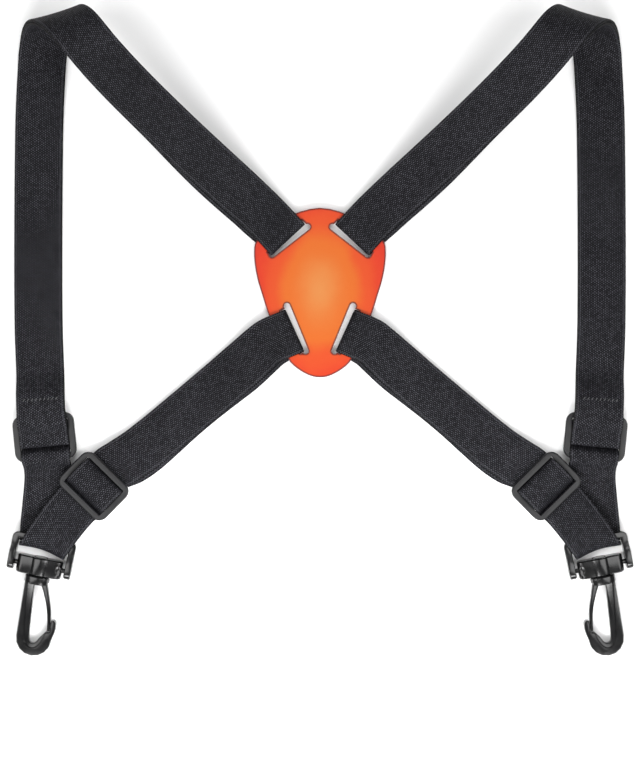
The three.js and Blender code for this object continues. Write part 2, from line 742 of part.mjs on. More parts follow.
function seatedSlider(name, { place: spot, heading: turn }, turnedOver) {
  const slider = piece(name, pieces.slider, sliderPlastic);
  const seat = new THREE.Group();
  seat.add(slider);
  slider.rotation.y = turnedOver ? Math.PI : 0;
  slider.position.z = turnedOver ? stackHeight : 0;
  seat.position.copy(place(spot));
  seat.rotation.z = degToRad(turn - 90);
  return seat;
}

function harnessSide(side) {
  const swivel = new THREE.Group();
  swivel.add(piece(`${side}_swivel_block`, pieces.block, hookPlastic));
  swivel.add(piece(`${side}_hook`, pieces.hook, hookPlastic));
  swivel.add(piece(`${side}_gate`, pieces.gate, hookPlastic));
  swivel.rotation.x = Math.asin((pinHeight - hookThickness / 2) / hookEnd);
  const hardware = new THREE.Group();
  hardware.add(piece(`${side}_bail`, pieces.bail, hookPlastic), swivel);
  hardware.position.copy(place(pinPlace, pinHeight));
  hardware.rotation.z = degToRad(hardwareTurn);
  const group = new THREE.Group();
  group.add(
    piece(`${side}_shoulder_band`, pieces.shoulderBand, elastic),
    piece(`${side}_side_band`, pieces.sideBand, elastic),
    seatedSlider(`${side}_shoulder_slider`, shoulderSlider, true),
    seatedSlider(`${side}_side_slider`, sideSlider, false),
    hardware,
  );
  return group;
}

const left = harnessSide("left");
const right = harnessSide("right");
right.scale.x = -1;
const harness = new THREE.Group();
harness.add(piece("back_plate", plateGeometry(), leather), left, right);
harness.updateMatrixWorld(true);
const reach = new THREE.Box3().setFromObject(harness, true);
harness.position.set(0, -(reach.min.y + reach.max.y) / 2, -reach.min.z);

const whole = new THREE.Group();
whole.add(harness);
export default whole;
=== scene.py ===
import itertools
import json
import math

import bmesh
import bpy
import numpy as np
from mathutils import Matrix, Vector, geometry


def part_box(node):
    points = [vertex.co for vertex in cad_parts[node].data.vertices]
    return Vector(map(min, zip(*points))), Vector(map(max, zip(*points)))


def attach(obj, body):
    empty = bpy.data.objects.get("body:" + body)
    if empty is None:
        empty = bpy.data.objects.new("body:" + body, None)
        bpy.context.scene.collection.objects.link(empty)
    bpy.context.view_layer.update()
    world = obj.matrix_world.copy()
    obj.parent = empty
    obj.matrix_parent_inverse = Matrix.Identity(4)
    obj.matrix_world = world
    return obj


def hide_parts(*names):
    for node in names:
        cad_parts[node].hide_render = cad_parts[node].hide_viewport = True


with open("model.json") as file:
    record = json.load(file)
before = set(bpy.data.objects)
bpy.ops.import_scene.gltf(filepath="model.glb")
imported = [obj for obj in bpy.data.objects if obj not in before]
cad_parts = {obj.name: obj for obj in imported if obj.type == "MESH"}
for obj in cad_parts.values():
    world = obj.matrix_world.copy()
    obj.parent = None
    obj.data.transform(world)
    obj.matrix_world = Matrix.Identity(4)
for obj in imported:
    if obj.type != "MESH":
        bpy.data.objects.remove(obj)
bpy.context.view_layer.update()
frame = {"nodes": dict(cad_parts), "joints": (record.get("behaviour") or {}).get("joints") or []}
scene = bpy.context.scene

# Camera: straight above the harness, which lies flat and is seen from over its plate.
camera_height = 0.950
camera_back = -0.02405
picture_reach = 0.3998
lens = bpy.data.cameras.new("camera")
lens.sensor_fit = "VERTICAL"
lens.angle = 2 * math.atan(picture_reach / 2 / camera_height)
camera = bpy.data.objects.new("camera", lens)
camera.location = (0, camera_back, camera_height)
scene.collection.objects.link(camera)
scene.camera = camera

# Elastic bands: 25 mm woven black elastic, four lengths in all, with a firm selvedge along each edge.
# A shoulder band is doubled from its slider up over the shoulder arch to the plate's upper slot.
# A side band is doubled from its slider to the lower slot, and goes on round the hook's bail.
band_width = 0.025
weld = 2e-6
fold_edge = math.radians(50)
ring_spacing = 0.002
ring_turn = math.radians(9)
pull_reach = 2.0
slider_reach = 0.0135
slider_fill = 0.03
inner_points = 5

# Distance from the band's edge, and height as a share of half the thickness
selvedge = [
    (0.0, 0.0),
    (0.00004, 0.45),
    (0.0002, 0.8),
    (0.0005, 0.97),
    (0.0008, 1.0),
    (0.0011, 0.84),
    (0.0014, 1.0),
]


def joined_copy(node):
    """The node's mesh with its loose triangles joined"""
    shape = bmesh.new()
    shape.from_mesh(frame["nodes"][node].data)
    bmesh.ops.remove_doubles(shape, verts=shape.verts, dist=weld)
    return shape


def next_ring(ring, passed):
    """The next four corners, each set against its own; a diagonal may reach one corner further"""
    ahead = {edge.other_vert(vert) for vert in ring for edge in vert.link_edges} - passed
    if len(ahead) - len(ring) not in (0, 1):
        return None
    return min(
        itertools.permutations(ahead, len(ring)),
        key=lambda order: sum((vert.co - other.co).length_squared for vert, other in zip(ring, order)),
    )


def corner_lines(shape):
    """The four corners of a band's section, each followed from one cut end to the other"""

    def folded(edge):
        return edge.calc_face_angle(0) > fold_edge

    walks = []
    for cap in [face for face in shape.faces if sum(map(folded, face.edges)) == 2]:
        diagonal = next(edge for edge in cap.edges if not folded(edge))
        partner = next(face for face in diagonal.link_faces if face != cap)
        first = next(vert for vert in cap.verts if vert not in diagonal.verts)
        opposite = next(vert for vert in partner.verts if vert not in diagonal.verts)
        wide, thick = sorted(diagonal.verts, key=lambda vert: -(vert.co - first.co).length)
        rings = []
        ring = (first, wide, opposite, thick)
        passed = set()
        while ring:
            rings.append([vert.co[:] for vert in ring])
            passed.update(ring)
            ring = next_ring(ring, passed)
        if len(passed) == len(shape.verts):
            walks.append(np.array(rings).transpose(1, 0, 2))
    return min(walks, key=lambda lines: np.linalg.norm(np.diff(lines, axis=1), axis=2).sum())


def eased(lines):
    """Corner lines with more rings between the stations, so that bends are round"""
    steps = np.linalg.norm(np.diff(lines.mean(axis=0), axis=0), axis=1)
    legs = np.diff(lines, axis=1) / steps[None, :, None]
    slopes = np.empty_like(lines)
    slopes[:, 0] = legs[:, 0]
    slopes[:, -1] = legs[:, -1]
    before, after = steps[None, :-1, None], steps[None, 1:, None]
    slopes[:, 1:-1] = (legs[:, :-1] * after + legs[:, 1:] * before) / (before + after)
    middle = slopes.mean(axis=0)
    middle /= np.linalg.norm(middle, axis=1)[:, None]
    rings = []
    for i, step in enumerate(steps):
        turn = math.acos(min(1, max(-1, float(middle[i] @ middle[i + 1]))))
        count = max(1, math.ceil(step / ring_spacing), math.ceil(turn / ring_turn))
        pull_out = min(step, pull_reach * steps[max(i - 1, 0)])
        pull_in = min(step, pull_reach * steps[min(i + 1, len(steps) - 1)])
        for t in np.arange(count) / count:
            rings.append(
                (1 - 3 * t**2 + 2 * t**3) * lines[:, i]
                + (t - 2 * t**2 + t**3) * pull_out * slopes[:, i]
                + (3 * t**2 - 2 * t**3) * lines[:, i + 1]
                + (t**3 - t**2) * pull_in * slopes[:, i + 1]
            )
    rings.append(lines[:, -1])
    return np.clip(rings, lines.min(axis=(0, 1)), lines.max(axis=(0, 1)))


def centre_of(node):
    """The middle of a node's box"""
    low, high = (np.array(corner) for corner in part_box(node))
    return (low + high) / 2


def filled(rings, sliders):
    """The same rings, with the band spread to fill each slider that it passes through"""
    middle = rings.mean(axis=1)
    spread = np.zeros(len(rings))
    for slider in sliders:
        gone = np.linalg.norm(middle[:, :2] - centre_of(slider)[:2], axis=1) / slider_reach
        spread += slider_fill * np.clip(1 - gone**4, 0, 1)
    half = (rings[:, 1] + rings[:, 2] - rings[:, 0] - rings[:, 3]) / 4 * spread[:, None]
    return rings + np.stack([-half, half, half, -half], axis=1)


def woven_section():
    """Points round a band's section: share of the width, and share of half the thickness"""
    edge = [(distance / band_width, height) for distance, height in selvedge]
    start, end = edge[-1][0], 1 - edge[-1][0]
    middle = [(start + (end - start) * k / (inner_points + 1), 1.0) for k in range(1, inner_points + 1)]
    face = edge + middle + [(1 - share, height) for share, height in reversed(edge)]
    return face + [(share, -height) for share, height in reversed(face[1:-1])]


def elastic_band(node, sliders):
    """The band's mesh round its corner lines, with its weave's places in metres as its UV map"""
    shape = joined_copy(node)
    rings = filled(eased(corner_lines(shape)), sliders)
    shape.free()
    section = np.array(woven_section())
    middle = rings.mean(axis=1)
    left = (rings[:, 0] + rings[:, 3]) / 2
    across = (rings[:, 1] + rings[:, 2]) / 2 - left
    half = (rings[:, 2] + rings[:, 3] - rings[:, 0] - rings[:, 1]) / 4
    points = left[:, None] + across[:, None] * section[None, :, :1]
    points = points + half[:, None] * section[None, :, 1:]
    along = np.concatenate([[0], np.cumsum(np.linalg.norm(np.diff(middle, axis=0), axis=1))])
    count, size = len(rings), len(section)
    faces = []
    for i in range(count - 1):
        for k in range(size):
            near, far = i * size, (i + 1) * size
            faces.append((near + k, near + (k + 1) % size, far + (k + 1) % size, far + k))
    faces.append(tuple(range(size)))
    faces.append(tuple(range((count - 1) * size, count * size)))
    mesh = bpy.data.meshes.new(node + "_woven")
    mesh.from_pydata(points.reshape(-1, 3).tolist(), [], faces)
    weave = mesh.uv_layers.new(name="weave")
    corners = np.empty(len(mesh.loops), dtype=np.int32)
    mesh.loops.foreach_get("vertex_index", corners)
    places = np.stack([section[corners % size, 0] * band_width, along[corners // size]], axis=1)
    weave.data.foreach_set("uv", places.astype(np.float32).ravel())
    finished = bmesh.new()
    finished.from_mesh(mesh)
    bmesh.ops.recalc_face_normals(finished, faces=finished.faces)
    finished.to_mesh(mesh)
    finished.free()
    mesh.shade_smooth()
    band = bpy.data.objects.new(node + "_woven", mesh)
    scene.collection.objects.link(band)
    return band, rings, along


def tone(red, green, blue):
    """A colour as it looks on a screen, 0 to 255, turned into the linear one that a shader wants"""

    def linear(level):
        return level / 255 / 12.92 if level < 11 else ((level / 255 + 0.055) / 1.055) ** 2.4

    return linear(red), linear(green), linear(blue), 1


def sums(tree):
    """A short way to write arithmetic in a node tree"""

    def work(operation, *values, clamp=False):
        node = tree.nodes.new("ShaderNodeMath")
        node.operation = operation
        node.use_clamp = clamp
        for socket, value in zip(node.inputs, values):
            if isinstance(value, (int, float)):
                socket.default_value = value
            else:
                tree.links.new(value, socket)
        return node.outputs[0]

    return work


def blended(tree, share, low, high):
    """A colour between two, by a share"""
    node = tree.nodes.new("ShaderNodeMix")
    node.data_type = "RGBA"
    tree.links.new(share, node.inputs["Factor"])
    for socket, value in ((node.inputs[6], low), (node.inputs[7], high)):
        if isinstance(value, tuple):
            socket.default_value = value
        else:
            tree.links.new(value, socket)
    return node.outputs[2]


def clouds(tree, place, scale, detail=3.0):
    """Soft noise over a place"""
    node = tree.nodes.new("ShaderNodeTexNoise")
    node.inputs["Scale"].default_value = scale
    node.inputs["Detail"].default_value = detail
    tree.links.new(place, node.inputs["Vector"])
    return node.outputs["Fac"]


def raised(tree, height, shader, distance, strength=1.0):
    """Relief on a shader"""
    node = tree.nodes.new("ShaderNodeBump")
    node.inputs["Distance"].default_value = distance
    node.inputs["Strength"].default_value = strength
    tree.links.new(height, node.inputs["Height"])
    tree.links.new(node.outputs["Normal"], shader.inputs["Normal"])


def plain_material(name):
    material = bpy.data.materials.new(name)
    material.use_nodes = True
    tree = material.node_tree
    return material, tree, tree.nodes["Principled BSDF"]


def woven_elastic():
    """Black elastic: offset picks over fine ribs, a painted glint on each pick's crown, a paler thread
    inside each selvedge, a dark edge
    """
    warp_pitch = 0.00092
    pick_pitch = 0.00125
    selvedge_place = 0.0011
    selvedge_half = 0.00028
    edge_width = 0.00045
    patch_scale = 28.0
    relief = 0.00022
    material, tree, shader = plain_material("woven_elastic")
    work = sums(tree)
    weave = tree.nodes.new("ShaderNodeUVMap")
    weave.uv_map = "weave"
    parts = tree.nodes.new("ShaderNodeSeparateXYZ")
    tree.links.new(weave.outputs["UV"], parts.inputs[0])
    warps = work("DIVIDE", parts.outputs["X"], warp_pitch)
    warp = work("FLOOR", warps)
    picks = work("ADD", work("DIVIDE", parts.outputs["Y"], pick_pitch), work("MULTIPLY", warp, 0.5))
    pick = work("FLOOR", picks)
    warp_crown = work("SINE", work("MULTIPLY", work("FRACT", warps), math.pi))
    pick_crown = work("SINE", work("MULTIPLY", work("FRACT", picks), math.pi))
    crown = work("MULTIPLY", warp_crown, pick_crown)
    cell = tree.nodes.new("ShaderNodeCombineXYZ")
    tree.links.new(warp, cell.inputs["X"])
    tree.links.new(pick, cell.inputs["Y"])
    chance = tree.nodes.new("ShaderNodeTexWhiteNoise")
    chance.noise_dimensions = "2D"
    tree.links.new(cell.outputs[0], chance.inputs["Vector"])
    brightness = work("MULTIPLY_ADD", chance.outputs["Value"], 0.75, 0.3)
    # Painted highlight: each pick's crown is lightened towards pale grey, more on some picks than
    # others and in soft patches
    glint = work("MULTIPLY", work("POWER", crown, 2.2), brightness)
    object_place = tree.nodes.new("ShaderNodeTexCoord").outputs["Object"]
    patch = clouds(tree, object_place, patch_scale)
    painted_glint_share = work("MULTIPLY", glint, work("MULTIPLY_ADD", patch, 0.9, 0.55), clamp=True)
    ground = blended(tree, patch, tone(4, 4, 6), tone(9, 9, 12))
    # The threads' colour carries the painted glint on the crowns over the dark ground
    threads = blended(tree, painted_glint_share, ground, tone(80, 80, 86))
    off_middle = work("ABSOLUTE", work("SUBTRACT", parts.outputs["X"], band_width / 2))
    from_edge = work("SUBTRACT", band_width / 2, off_middle)
    off_selvedge = work("ABSOLUTE", work("SUBTRACT", from_edge, selvedge_place))
    off_line = work("DIVIDE", off_selvedge, selvedge_half)
    line = work("MULTIPLY", work("SUBTRACT", 1.0, off_line, clamp=True), 0.7)
    lined = blended(tree, line, threads, tone(66, 66, 70))
    rim = work("SUBTRACT", 1.0, work("DIVIDE", from_edge, edge_width), clamp=True)
    tree.links.new(blended(tree, rim, lined, tone(8, 8, 9)), shader.inputs["Base Color"])
    shader.inputs["Roughness"].default_value = 0.6
    shader.inputs["Specular IOR Level"].default_value = 0.08
    raised(tree, crown, shader, relief, 0.8)
    return material


band_cloth = woven_elastic()
band_paths = {}
for side in ("left", "right"):
    for kind in ("shoulder", "side"):
        node = f"{side}_{kind}_band"
        band, rings, along = elastic_band(node, [f"{side}_shoulder_slider", f"{side}_side_slider"])
        band.data.materials.append(band_cloth)
        band_paths[node] = (rings, along)
        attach(band, "harness")
        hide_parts(node)

# Stitching: one row of black polyester thread across each sewn end, through the ply that covers it.
# The shoulder band's rows show on top, and the side band's underneath, where it lies on the floor.
seam_inset = 0.0041
seam_share = 0.34
seam_points = 12
ply_pitch = 0.00175
end_reach = 0.03
stitch_pitch = 0.0019
stitch_length = 0.0012
stitch_slant = 0.0019
thread_radius = 0.00026


def group_input(tree, name, kind, value=None):
    """A named input of a geometry tree"""
    socket = tree.interface.new_socket(name=name, in_out="INPUT", socket_type=kind)
    if value is not None:
        socket.default_value = value
    return socket.identifier


def stitch_tree():
    """Lays one stitch at every pitch along a line, then makes them plain mesh"""
    tree = bpy.data.node_groups.new("stitch_row", "GeometryNodeTree")
    tree.is_modifier = True
    names = {
        "row": group_input(tree, "Row", "NodeSocketGeometry"),
        "pitch": group_input(tree, "Pitch", "NodeSocketFloat", stitch_pitch),
        "length": group_input(tree, "Stitch length", "NodeSocketFloat", stitch_length),
        "slant": group_input(tree, "Stitch slant", "NodeSocketFloat", stitch_slant),
        "radius": group_input(tree, "Thread radius", "NodeSocketFloat", thread_radius),
        "outward": group_input(tree, "Outward", "NodeSocketVector", (0, 0, 1)),
        "thread": group_input(tree, "Thread", "NodeSocketMaterial"),
    }
    tree.interface.new_socket(name="Stitches", in_out="OUTPUT", socket_type="NodeSocketGeometry")
    given = tree.nodes.new("NodeGroupInput").outputs
    join = tree.links.new

    def node(kind, **sockets):
        made = tree.nodes.new(kind)
        for name, value in sockets.items():
            join(value, made.inputs[name.replace("_", " ")])
        return made

    line = node("GeometryNodeMeshToCurve", Mesh=given["Row"])
    spots = node("GeometryNodeResampleCurve", Curve=line.outputs[0])
    spots.mode = "LENGTH"
    join(given["Pitch"], spots.inputs["Length"])

    def times(value, share):
        made = node("ShaderNodeMath")
        made.operation = "MULTIPLY"
        join(value, made.inputs[0])
        made.inputs[1].default_value = share
        return made.outputs[0]

    down = times(given["Thread radius"], -1.6)
    length, slant = given["Stitch length"], given["Stitch slant"]
    start = node("ShaderNodeCombineXYZ", X=times(length, -0.5), Y=times(slant, -0.5), Z=down)
    end = node("ShaderNodeCombineXYZ", X=times(length, 0.5), Y=times(slant, 0.5), Z=down)
    crest = node("ShaderNodeCombineXYZ", Z=given["Thread radius"])
    bow = node(
        "GeometryNodeCurveQuadraticBezier",
        Start=start.outputs[0],
        Middle=crest.outputs[0],
        End=end.outputs[0],
    )
    bow.inputs["Resolution"].default_value = 6
    round_thread = node("GeometryNodeCurvePrimitiveCircle", Radius=given["Thread radius"])
    round_thread.inputs["Resolution"].default_value = 6
    stitch = node(
        "GeometryNodeCurveToMesh",
        Curve=bow.outputs[0],
        Profile_Curve=round_thread.outputs[0],
    )
    stitch.inputs["Fill Caps"].default_value = True
    ahead = node("GeometryNodeInputTangent")
    aligned = node("FunctionNodeAlignRotationToVector", Vector=ahead.outputs[0])
    aligned.axis = "X"
    upright = node(
        "FunctionNodeAlignRotationToVector",
        Rotation=aligned.outputs[0],
        Vector=given["Outward"],
    )
    upright.axis = "Z"
    upright.pivot_axis = "X"
    row = node(
        "GeometryNodeInstanceOnPoints",
        Points=spots.outputs[0],
        Instance=stitch.outputs[0],
        Rotation=upright.outputs[0],
    )
    real = node("GeometryNodeRealizeInstances", Geometry=row.outputs[0])
    coloured = node("GeometryNodeSetMaterial", Geometry=real.outputs[0], Material=given["Thread"])
    join(coloured.outputs[0], tree.nodes.new("NodeGroupOutput").inputs[0])
    return tree, names


def laid_along(name, points, tree, values):
    """A plain mesh of what a geometry tree lays along a line"""
    line = bpy.data.meshes.new(name + "_line")
    steps = [(k, k + 1) for k in range(len(points) - 1)]
    line.from_pydata([tuple(point) for point in points], steps, [])
    piece = bpy.data.objects.new(name, line)
    scene.collection.objects.link(piece)
    layer = piece.modifiers.new("row", "NODES")
    layer.node_group = tree
    for identifier, value in values.items():
        layer[identifier] = value
    evaluated = piece.evaluated_get(bpy.context.evaluated_depsgraph_get())
    made = bpy.data.meshes.new_from_object(evaluated)
    piece.modifiers.clear()
    piece.data = made
    made.shade_smooth()
    return piece


def spun_polyester():
    """Black sewing thread: a fine slanting twist"""
    material, tree, shader = plain_material("spun_polyester")
    place = tree.nodes.new("ShaderNodeTexCoord").outputs["Object"]
    twist = tree.nodes.new("ShaderNodeTexWave")
    twist.inputs["Scale"].default_value = 900.0
    twist.inputs["Distortion"].default_value = 1.5
    tree.links.new(place, twist.inputs["Vector"])
    colour = blended(tree, twist.outputs["Fac"], tone(24, 24, 26), tone(92, 92, 94))
    tree.links.new(colour, shader.inputs["Base Color"])
    shader.inputs["Roughness"].default_value = 0.55
    raised(tree, twist.outputs["Fac"], shader, 0.00005, 0.8)
    return material


def seam_line(rings, along, slider, over):
    """A line across the ply that covers (over 1) or underlies (over -1) the band's sewn end"""
    middle = rings.mean(axis=1)
    at_slider = centre_of(slider)
    starts_here = np.linalg.norm(middle[0] - at_slider) < np.linalg.norm(middle[-1] - at_slider)
    gone = along if starts_here else along[-1] - along
    sewn = middle[np.argmin(np.abs(gone - seam_inset))]
    off_sewn = np.linalg.norm(middle - sewn - (0, 0, over * ply_pitch), axis=1)
    ply = np.where(gone > end_reach, off_sewn, 1).argmin()
    across = (rings[ply, 1] + rings[ply, 2] - rings[ply, 0] - rings[ply, 3]) / 2
    half = (rings[ply, 2] + rings[ply, 3] - rings[ply, 0] - rings[ply, 1]) / 4
    half *= math.copysign(1, half[2] * over)
    shares = np.linspace(-seam_share, seam_share, seam_points)
    return [middle[ply] + half + across * share for share in shares]


stitches, stitch_inputs = stitch_tree()
thread = spun_polyester()
for side in ("left", "right"):
    for kind, over in (("shoulder", 1), ("side", -1)):
        rings, along = band_paths[f"{side}_{kind}_band"]
        points = seam_line(rings, along, f"{side}_{kind}_slider", over)
        values = {
            stitch_inputs["pitch"]: stitch_pitch,
            stitch_inputs["length"]: stitch_length,
            stitch_inputs["slant"]: stitch_slant,
            stitch_inputs["radius"]: thread_radius,
            stitch_inputs["outward"]: (0.0, 0.05, float(over)),
            stitch_inputs["thread"]: thread,
        }
        seam = laid_along(f"{side}_{kind}_stitching", points, stitches, values)
        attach(seam, "harness")

# Back plate: a flat shield of 2 mm orange coated leather, with four slots that the bands turn through.
# Its face is smooth and half glossy, paler in the middle where a pool of light is painted, and its cut
# edge is sealed darker, with painted shade along it and round the slots.
plate_thickness = 0.002
grid_step = 0.0016
grid_clear = 0.6
rim_radius = 0.0005
plate_wave = 0.00012
wave_turns = (95, 70)


def outline_loops(shape):
    """The plate's outer line and slot lines, seen from above, longest first"""
    facing = {face for face in shape.faces if face.normal.z > 0.3}
    border = [edge for edge in shape.edges if sum(face in facing for face in edge.link_faces) == 1]
    ways = {}
    for edge in border:
        for vert in edge.verts:
            ways.setdefault(vert, []).append(edge.other_vert(vert))
    loops = []
    left = set(ways)
    while left:
        loop = [left.pop()]
        while True:
            onward = [vert for vert in ways[loop[-1]] if vert in left]
            if not onward:
                break
            loop.append(onward[0])
            left.discard(onward[0])
        loops.append(np.array([vert.co[:2] for vert in loop]))
    return sorted(
        loops,
        key=lambda loop: -np.linalg.norm(loop - np.roll(loop, 1, axis=0), axis=1).sum(),
    )


def distance_to(loop, places):
    """How far each place lies from a closed line"""
    start, end = loop, np.roll(loop, -1, axis=0)
    run = end - start
    gap = places[:, None] - start[None]
    share = np.clip((gap * run).sum(-1) / (run * run).sum(-1), 0, 1)
    return np.linalg.norm(gap - share[..., None] * run, axis=-1).min(axis=1)


def inside(loop, places):
    """Which places a closed line goes round"""
    x, y = places[:, :1], places[:, 1:]
    x0, y0 = loop[:, 0], loop[:, 1]
    x1, y1 = np.roll(x0, -1), np.roll(y0, -1)
    crosses = ((y0 > y) != (y1 > y)) & (x < x0 + (x1 - x0) * (y - y0) / np.where(y1 == y0, 1, y1 - y0))
    return crosses.sum(axis=1) % 2 == 1


def made_plain(piece, smooth=30):
    """The piece's modifiers worked into its mesh, and its hard edges kept"""
    evaluated = piece.evaluated_get(bpy.context.evaluated_depsgraph_get())
    mesh = bpy.data.meshes.new_from_object(evaluated)
    piece.modifiers.clear()
    piece.data = mesh
    finished = bmesh.new()
    finished.from_mesh(mesh)
    bmesh.ops.recalc_face_normals(finished, faces=finished.faces)
    finished.to_mesh(mesh)
    finished.free()
    mesh.shade_smooth()
    mesh.set_sharp_from_angle(angle=math.radians(smooth))


def leather_plate():
    """The plate meshed inside its node's outlines, given its wall and softened rims"""
    shape = joined_copy("back_plate")
    outer, *slots = outline_loops(shape)
    shape.free()
    low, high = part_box("back_plate")
    xs = np.arange(low[0], high[0], grid_step)
    ys = np.arange(low[1], high[1], grid_step)
    spots = np.array([(x + (j % 2) * grid_step / 2, y) for j, y in enumerate(ys) for x in xs])
    keep = inside(outer, spots)
    for loop in (outer, *slots):
        keep &= distance_to(loop, spots) > grid_clear * grid_step
    for loop in slots:
        keep &= ~inside(loop, spots)
    flat = []
    edges = []
    for loop in (outer, *slots):
        edges += [(len(flat) + k, len(flat) + (k + 1) % len(loop)) for k in range(len(loop))]
        flat += loop.tolist()
    flat += spots[keep].tolist()
    verts, _, faces, *_ = geometry.delaunay_2d_cdt([Vector(spot) for spot in flat], edges, [], 0, 1e-7)
    plan = np.array([tuple(vert) for vert in verts])
    centres = np.array([plan[list(face)].mean(axis=0) for face in faces])
    solid = inside(outer, centres)
    for loop in slots:
        solid &= ~inside(loop, centres)
    faces = [face for face, is_solid in zip(faces, solid) if is_solid]
    middle = (low[2] + high[2]) / 2
    wave = plate_wave * (np.sin(plan[:, 0] * wave_turns[0] + 1.0) * np.cos(plan[:, 1] * wave_turns[1]))
    mesh = bpy.data.meshes.new("leather_plate")
    mesh.from_pydata([(x, y, middle + z) for (x, y), z in zip(plan, wave)], [], faces)
    plate = bpy.data.objects.new("leather_plate", mesh)
    scene.collection.objects.link(plate)
    wall = plate.modifiers.new("wall", "SOLIDIFY")
    wall.thickness = plate_thickness
    wall.offset = 0
    rim = plate.modifiers.new("rim", "BEVEL")
    rim.width = rim_radius
    rim.segments = 3
    rim.limit_method = "ANGLE"
    rim.angle_limit = math.radians(50)
    made_plain(plate)
    places = np.empty(len(plate.data.vertices) * 3)
    plate.data.vertices.foreach_get("co", places)
    places = places.reshape(-1, 3)[:, :2]
    near = distance_to(outer, places)
    for loop in slots:
        near = np.minimum(near, distance_to(loop, places))
    from_cut = plate.data.attributes.new("from_cut", "FLOAT", "POINT")
    from_cut.data.foreach_set("value", near.astype(np.float32))
    return plate


def coated_leather():
    """Orange coated leather: fine pebble grain, a painted pool of light paling its middle, darker at
    its sealed cut edge with painted shade along it
    """
    light_pool_rise = 0.001
    light_pool_size = (0.036, 0.053, 0.05)
    mottle_scale = 60.0
    pebble_scale = 1500.0
    sealed_and_shade_fade = 0.0006
    sealed_and_shade_reach = 1.7
    material, tree, shader = plain_material("coated_leather")
    work = sums(tree)
    place = tree.nodes.new("ShaderNodeTexCoord").outputs["Object"]
    low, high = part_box("back_plate")
    # Painted pool of light: the orange-red leather turns paler and more orange towards a spot just
    # above the plate's middle
    centred = tree.nodes.new("ShaderNodeMapping")
    centred.vector_type = "TEXTURE"
    centred.inputs["Location"].default_value = (0, (low[1] + high[1]) / 2 + light_pool_rise, high[2])
    centred.inputs["Scale"].default_value = light_pool_size
    tree.links.new(place, centred.inputs["Vector"])
    reach = tree.nodes.new("ShaderNodeVectorMath")
    reach.operation = "LENGTH"
    tree.links.new(centred.outputs[0], reach.inputs[0])
    mottle = clouds(tree, place, mottle_scale, 4.0)
    spread = work("ADD", reach.outputs["Value"], work("MULTIPLY_ADD", mottle, 0.22, -0.11))
    ramp = tree.nodes.new("ShaderNodeValToRGB")
    ramp.color_ramp.interpolation = "EASE"
    steps = ramp.color_ramp.elements
    steps[0].position, steps[0].color = 0.0, tone(194, 120, 58)
    steps[1].position, steps[1].color = 1.0, tone(186, 40, 12)
    between = [(0.46, tone(194, 92, 20)), (0.68, tone(193, 65, 15)), (0.9, tone(190, 46, 12))]
    for position, colour in between:
        steps.new(position).color = colour
    tree.links.new(spread, ramp.inputs["Fac"])
    attribute = tree.nodes.new("ShaderNodeAttribute")
    attribute.attribute_name = "from_cut"
    # Darker near every cut: the sealed edge's own colour, plus painted shade along the rim and round
    # the slots
    faded = work("DIVIDE", attribute.outputs["Fac"], sealed_and_shade_fade)
    sealed_and_shade = work("MULTIPLY", work("SUBTRACT", sealed_and_shade_reach, faded, clamp=True), 0.85)
    edged = blended(tree, sealed_and_shade, ramp.outputs["Color"], tone(60, 12, 12))
    tree.links.new(edged, shader.inputs["Base Color"])
    shader.inputs["Roughness"].default_value = 0.42
    shader.inputs["Specular IOR Level"].default_value = 0.3
    pebbles = tree.nodes.new("ShaderNodeTexVoronoi")
    pebbles.inputs["Scale"].default_value = pebble_scale
    tree.links.new(place, pebbles.inputs["Vector"])
    grain = work("ADD", pebbles.outputs["Distance"], work("MULTIPLY", mottle, 1.5))
    raised(tree, grain, shader, 0.00006, 0.35)
    return material


plate = leather_plate()
plate.data.materials.clear()
plate.data.materials.append(coated_leather())
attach(plate, "harness")
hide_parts("back_plate")

# Three-bar sliders: satin black nylon, moulded with a small radius on every edge, two on each side.
# The shoulder slider lies with its back up, so that only its rails show beside the band.
# The side slider lies face up, and its band humps over its middle bar.
edge_radius = 0.00028


def moulded(node, radius, name):
    """A moulding with rounded edges, in place of its node"""
    shape = joined_copy(node)
    bmesh.ops.dissolve_limit(shape, angle_limit=math.radians(1.5), verts=shape.verts, edges=shape.edges)
    mesh = bpy.data.meshes.new(name)
    shape.to_mesh(mesh)
    shape.free()
    piece = bpy.data.objects.new(name, mesh)
    scene.collection.objects.link(piece)
    softened = piece.modifiers.new("edges", "BEVEL")
    softened.width = radius
    softened.segments = 3
    softened.limit_method = "ANGLE"
    softened.angle_limit = math.radians(28)
    softened.use_clamp_overlap = True
    made_plain(piece, 32)
    return piece


def satin_nylon():
    """Satin black nylon: fine spark-eroded grain and faint rubbed patches"""
    patch_scale = 220.0
    grain_scale = 3200.0
    material, tree, shader = plain_material("satin_nylon")
    work = sums(tree)
    place = tree.nodes.new("ShaderNodeTexCoord").outputs["Object"]
    rubbed = clouds(tree, place, patch_scale, 4.0)
    grain = clouds(tree, place, grain_scale, 2.0)
    colour = blended(tree, rubbed, tone(11, 11, 13), tone(22, 22, 24))
    tree.links.new(colour, shader.inputs["Base Color"])
    tree.links.new(work("MULTIPLY_ADD", rubbed, 0.2, 0.3), shader.inputs["Roughness"])
    shader.inputs["Specular IOR Level"].default_value = 0.5
    raised(tree, work("ADD", grain, work("MULTIPLY", rubbed, 0.6)), shader, 0.00004, 0.5)
    return material


nylon = satin_nylon()
for side in ("left", "right"):
    for kind in ("shoulder", "side"):
        node = f"{side}_{kind}_slider"
        slider = moulded(node, edge_radius, node + "_moulded")
        slider.data.materials.clear()
        slider.data.materials.append(nylon)
        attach(slider, "harness")
        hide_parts(node)

# Grip ribs: small half-round ribs inside both crossbars of each side slider, moulded with it.
# They bite the band, so that its set length holds.
rib_pitch = 0.0014
rib_radius = 0.00034
window_end = 0.0091
rib_row_half = 0.0112
rib_height = 0.0026
rib_sink = 0.45


